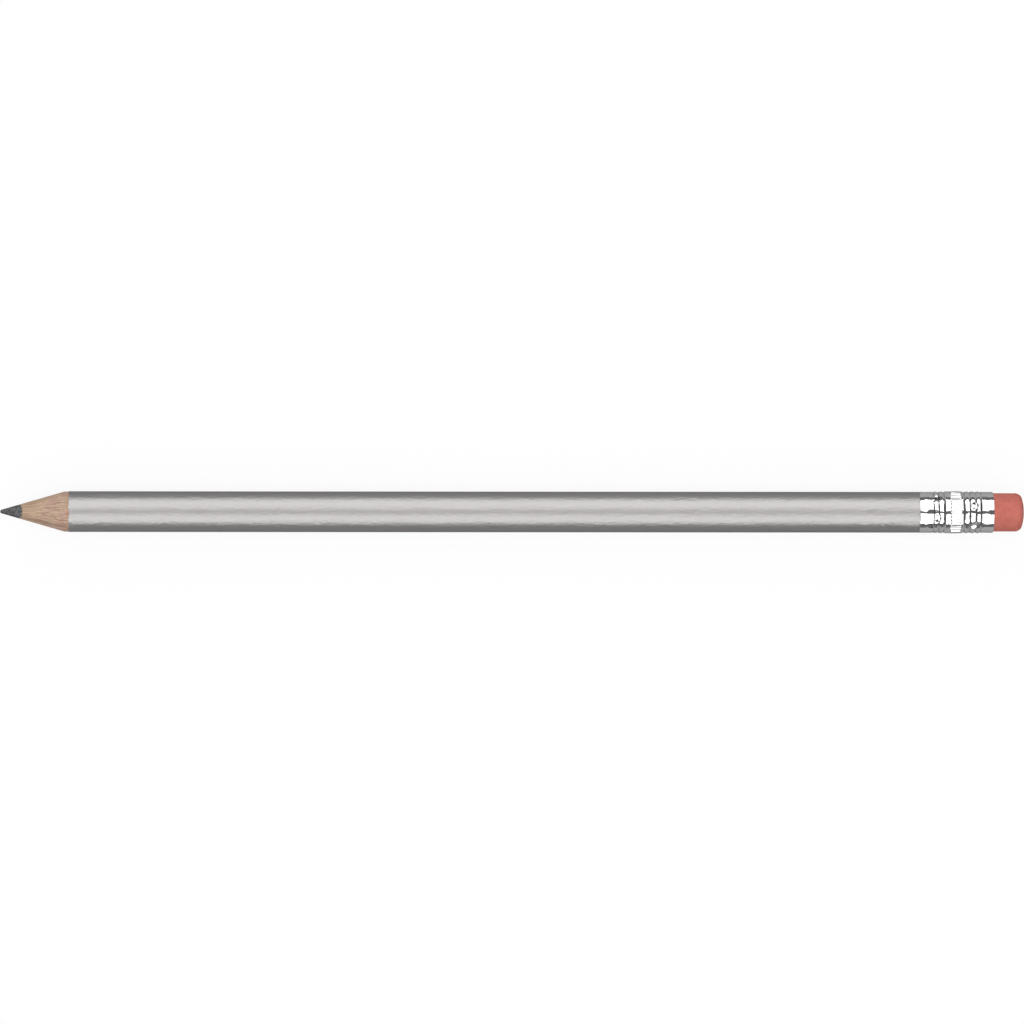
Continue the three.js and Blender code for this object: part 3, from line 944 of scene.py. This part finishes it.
lacquer, tree, shader, place = start_material("silver_lacquer")
fine_place = drawn_out(tree, place, GRAIN_SIZE, GRAIN_STRETCH)
wide_place = drawn_out(tree, place, WAVE_SIZE, WAVE_STRETCH)
grain = noise(tree, fine_place, 1.0, detail=3.0, roughness=0.6)
waves = noise(tree, wide_place, 1.0, detail=1.0)
unevenness = math_of(tree, "MULTIPLY_ADD", grain, GRAIN_SHARE)
put(tree, unevenness.node.inputs[2], math_of(tree, "MULTIPLY", waves, WAVE_SHARE))
uneven_skin = bump(tree, unevenness, UNEVEN_DEPTH)
mottle = remap(tree, noise(tree, place, CLOUD_SCALE), 0.35, 0.65)
put(tree, shader.inputs["Base Color"], mixed(tree, mottle, LACQUER_SHADE, LACQUER_SILVER))
put(tree, shader.inputs["Roughness"], remap(tree, grain, 0.3, 0.7, 0.38, 0.42))
put(tree, shader.inputs["Normal"], uneven_skin)
put(tree, shader.inputs["Coat Normal"], uneven_skin)
shader.inputs["Metallic"].default_value = LACQUER_METALLIC
shader.inputs["Specular Tint"].default_value = LACQUER_EDGE
shader.inputs["Coat Weight"].default_value = 1.0
shader.inputs["Coat Roughness"].default_value = SKIN_ROUGHNESS
shader.inputs["Coat IOR"].default_value = SKIN_IOR
finish_piece(coat, "lacquer_coat", lacquer)

# %% [markdown]
# ## Ferrule
# The outline is spun with ten steps for each of the band's forty teeth. A little cloudy displacement makes
# the thin sheet as uneven as it really is, but it spares the band. A tooth is a ridge along the pencil. On
# the lathe every tenth point round a ring has the same place on its tooth, so those points are selected
# together and scaled away from the axis or towards it, all forty teeth at once. The band's first ring gets
# wider and shallower gaps, which leave a small pit at the front of each. The stakes come last.

# %% Turn the ferrule
TEETH = 40
STEPS_PER_TOOTH = 10
DING_SIZE = 1.3 * MM
DING_DEPTH = 0.09 * MM

outer = ferrule_outline(*OUTER_STEPS)
inner = [(station, radius - FERRULE_WALL) for station, radius in ferrule_outline(*INNER_STEPS)]
sheet_outline = [(MOUTH_X + station, radius) for station, radius in [*outer, *reversed(inner), outer[0]]]
ferrule = turned("crimped_ferrule", sheet_outline, TEETH * STEPS_PER_TOOTH)


def spoke_of(point):
    """From the axis straight out to a point."""
    return Vector((0, point.y, point.z - AXIS_Z))


plain = ferrule.vertex_groups.new(name="plain_sheet")
for vertex in ferrule.data.vertices:
    station = vertex.co.x - MOUTH_X
    on_band = BAND_START - FRONT_SHOULDER < station < BAND_END + FRONT_SHOULDER
    if vertex.normal.dot(spoke_of(vertex.co)) > 0 and not on_band:
        plain.add([vertex.index], 1.0, "REPLACE")
cloud_displace(ferrule, DING_SIZE, DING_DEPTH, "NORMAL", plain)
print("ferrule sheet:", len(ferrule.data.polygons), "faces")

# %% Raise the teeth
TOOTH_RISES = [0.020 * MM, 0.015 * MM, -0.002 * MM, -0.045 * MM, -0.105 * MM, -0.160 * MM]
PIT_RISES = [0.005 * MM, -0.010 * MM, -0.070 * MM, -0.120 * MM, -0.130 * MM, -0.135 * MM]
END_SHARE = 0.55
END_RISES = [END_SHARE * rise for rise in TOOTH_RISES]

band_points = {}
for vertex in ferrule.data.vertices:
    station = vertex.co.x - MOUTH_X
    spoke = spoke_of(vertex.co)
    if BAND_START < station < BAND_END and spoke.length > BAND_RADIUS - FERRULE_WALL / 2:
        step = round(math.degrees(math.atan2(spoke.y, spoke.z)) * TEETH * STEPS_PER_TOOTH / 360)
        spot = step % STEPS_PER_TOOTH
        phase = min(spot, STEPS_PER_TOOTH - spot)
        band_points.setdefault((round(station / WELD), phase), []).append(vertex.index)

front_rings = [BAND_START + ring for ring in FRONT_RINGS]
back_rings = [BAND_END - ring for ring in BACK_RINGS]
ring_rises = [PIT_RISES, TOOTH_RISES, END_RISES, TOOTH_RISES]
for station, rises in zip(front_rings + back_rings, ring_rises):
    for phase, rise in enumerate(rises):
        scale = 1 + rise / BAND_RADIUS
        choose(ferrule, band_points[round(station / WELD), phase])
        bpy.ops.transform.resize(
            value=(1, scale, scale),
            center_override=(MOUTH_X, 0, AXIS_Z),
            use_proportional_edit=False,
        )
        bpy.ops.object.mode_set(mode="OBJECT")
print(f"teeth: {TEETH}, from {sum(map(len, band_points.values()))} points of the band")

# %% Punch the stakes
punch_row(ferrule, FRONT_STAKES)
punch_row(ferrule, REAR_STAKES)

# %% [markdown]
# Bright rolled aluminium mirrors the softboxes almost without blur. Fine scratches roughen it a little. A
# dark grey is painted into the colour as shade in the valleys between the beads and round the rims of the
# dents. It lies between two depths and not below them, so the dents' own floors stay bright.

# %% Ferrule finish
ALUMINIUM = (0.96, 0.96, 0.965)
VALLEY_SHADE = (0.12, 0.12, 0.125)
VALLEY_SHADE_TOP = COLLAR_RADIUS - 0.025 * MM
VALLEY_SHADE_FULL = COLLAR_RADIUS - 0.075 * MM
VALLEY_SHADE_END = VALLEY_RADIUS - 0.015 * MM
DENT_FLOOR = COLLAR_RADIUS - 0.135 * MM
VALLEY_SHADE_SHARE = 0.65
SCRATCH_STRETCH = 0.12
SCRATCH_SCALE = 5.0
RIPPLE_SCALE = 2.4 / MM
RIPPLE_DEPTH = 0.012 * MM
FERRULE_CREASE = 20

metal, tree, shader, place = start_material("rolled_aluminium")
unrolled = use_group(tree, unroll, Place=place, Stretch=SCRATCH_STRETCH)
scratches = noise(tree, unrolled["Sheet"], SCRATCH_SCALE, detail=3.0, roughness=0.6)
# Painted shade: a dark grey is mixed into the colour between two depths, in the valleys and round the dent
# rims.
sunken_shade = remap(tree, unrolled["Radius"], VALLEY_SHADE_FULL, VALLEY_SHADE_TOP, VALLEY_SHADE_SHARE, 0.0)
above_floor = remap(tree, unrolled["Radius"], DENT_FLOOR, VALLEY_SHADE_END)
valley_shade_mask = math_of(tree, "MULTIPLY", sunken_shade, above_floor)
put(tree, shader.inputs["Base Color"], mixed(tree, valley_shade_mask, ALUMINIUM, VALLEY_SHADE))
put(tree, shader.inputs["Roughness"], remap(tree, scratches, 0.3, 0.7, 0.05, 0.11))
put(tree, shader.inputs["Normal"], bump(tree, noise(tree, place, RIPPLE_SCALE), RIPPLE_DEPTH))
shader.inputs["Metallic"].default_value = 1.0
finish_piece(ferrule, "ferrule", metal, crease=FERRULE_CREASE)

# %% [markdown]
# ## Eraser
# The eraser is a plug of soft rubber with a slightly crowned end. Its rear corner is a quarter of an ellipse
# laid on that crown, so one formula gives how far the end falls away at each radius. The front end sits
# inside the ferrule with a chamfer, the notches of the beads and the dents of the stakes.

# %% Turn the eraser
ERASER_SIDES = 128
ERASER_FIT = 0.03 * MM
ERASER_CHAMFER = 0.4 * MM
ERASER_CROWN = 0.62 * MM
CORNER_LENGTH = 0.95 * MM
CORNER_DEPTH = 0.78 * MM
FLAT_RADIUS = 1.0 * MM
CORNER_STEPS = 16
CROWN_STEPS = 10

seat_x = eraser_low.x
end_x = eraser_high.x
exit_x = MOUTH_X + FERRULE_LENGTH
corner_start = ERASER_RADIUS - CORNER_DEPTH


def eraser_fall(radius):
    """How far the end lies behind its very middle at a given radius."""
    crown = (radius**2 - FLAT_RADIUS**2) / (ERASER_RADIUS**2 - FLAT_RADIUS**2)
    turn = max(0.0, radius - corner_start) / CORNER_DEPTH
    return ERASER_CROWN * crown + CORNER_LENGTH * (1 - math.sqrt(max(0.0, 1 - turn**2)))


corner_turns = [math.pi / 2 * step / CORNER_STEPS for step in range(CORNER_STEPS)]
end_radii = [corner_start + CORNER_DEPTH * math.cos(turn) for turn in corner_turns]
crown_step = (corner_start - FLAT_RADIUS) / CROWN_STEPS
end_radii += [corner_start - crown_step * step for step in range(CROWN_STEPS + 1)]
eraser_outline = [
    (seat_x, 0),
    (seat_x, ERASER_RADIUS - ERASER_CHAMFER),
    (seat_x + ERASER_CHAMFER, ERASER_RADIUS),
    *gripped(BAND_END, FERRULE_LENGTH, ERASER_RADIUS, ERASER_FIT),
    (exit_x, ERASER_RADIUS),
    *[(end_x - eraser_fall(radius), radius) for radius in end_radii],
    (end_x, 0),
]
eraser = turned("coral_eraser", eraser_outline, ERASER_SIDES)
punch_row(eraser, REAR_STAKES)

# %% [markdown]
# The rubber is a matt coral, a little deeper in some places than in others, with fine grit of the abrasive
# and a few dark specks.

# %% Eraser finish
CORAL = (0.620, 0.180, 0.142)
CORAL_DEEP = (0.570, 0.152, 0.120)
CORAL_GRIT = (0.69, 0.26, 0.205)
SPECK_BROWN = (0.24, 0.10, 0.085)
TONE_SCALE = 0.8 / MM
GRIT_SCALE = 9.0 / MM
GRIT_SHARE = 0.5
GRIT_DEPTH = 0.02 * MM
SPECK_SCALE = 2.6 / MM
SPECK_LEVEL = 0.72
SPECK_SHARE = 0.55
RUBBER_SHINE = 0.25

rubber, tree, shader, place = start_material("coral_rubber")
tones = noise(tree, place, TONE_SCALE, detail=3.0, roughness=0.6)
grit = noise(tree, place, GRIT_SCALE)
colour = mixed(tree, remap(tree, tones, 0.36, 0.64), CORAL_DEEP, CORAL)
colour = mixed(tree, remap(tree, grit, 0.52, 0.72, 0.0, GRIT_SHARE), colour, CORAL_GRIT)
dark_specks = use_group(tree, specks, Vector=place, Scale=SPECK_SCALE, Level=SPECK_LEVEL)["Mask"]
colour = mixed(tree, math_of(tree, "MULTIPLY", dark_specks, SPECK_SHARE), colour, SPECK_BROWN)
put(tree, shader.inputs["Base Color"], colour)
put(tree, shader.inputs["Roughness"], remap(tree, grit, 0.3, 0.7, 0.68, 0.85))
put(tree, shader.inputs["Normal"], bump(tree, grit, GRIT_DEPTH))
shader.inputs["Specular IOR Level"].default_value = RUBBER_SHINE
finish_piece(eraser, "eraser_plug", rubber)

# %% [markdown]
# ## Size
# The looks must not change the pencil's size. The CAD box from the start and the box of the dressed pencil
# are printed side by side.

# %% Print both boxes and finish
visual_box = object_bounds()
boxes = {
    "cad": [list(corner) for corner in cad_box],
    "visual": [list(corner) for corner in visual_box],
}
for name, (low, high) in boxes.items():
    print(name, [f"{(top - bottom) / MM:.3f}" for bottom, top in zip(low, high)], "mm")
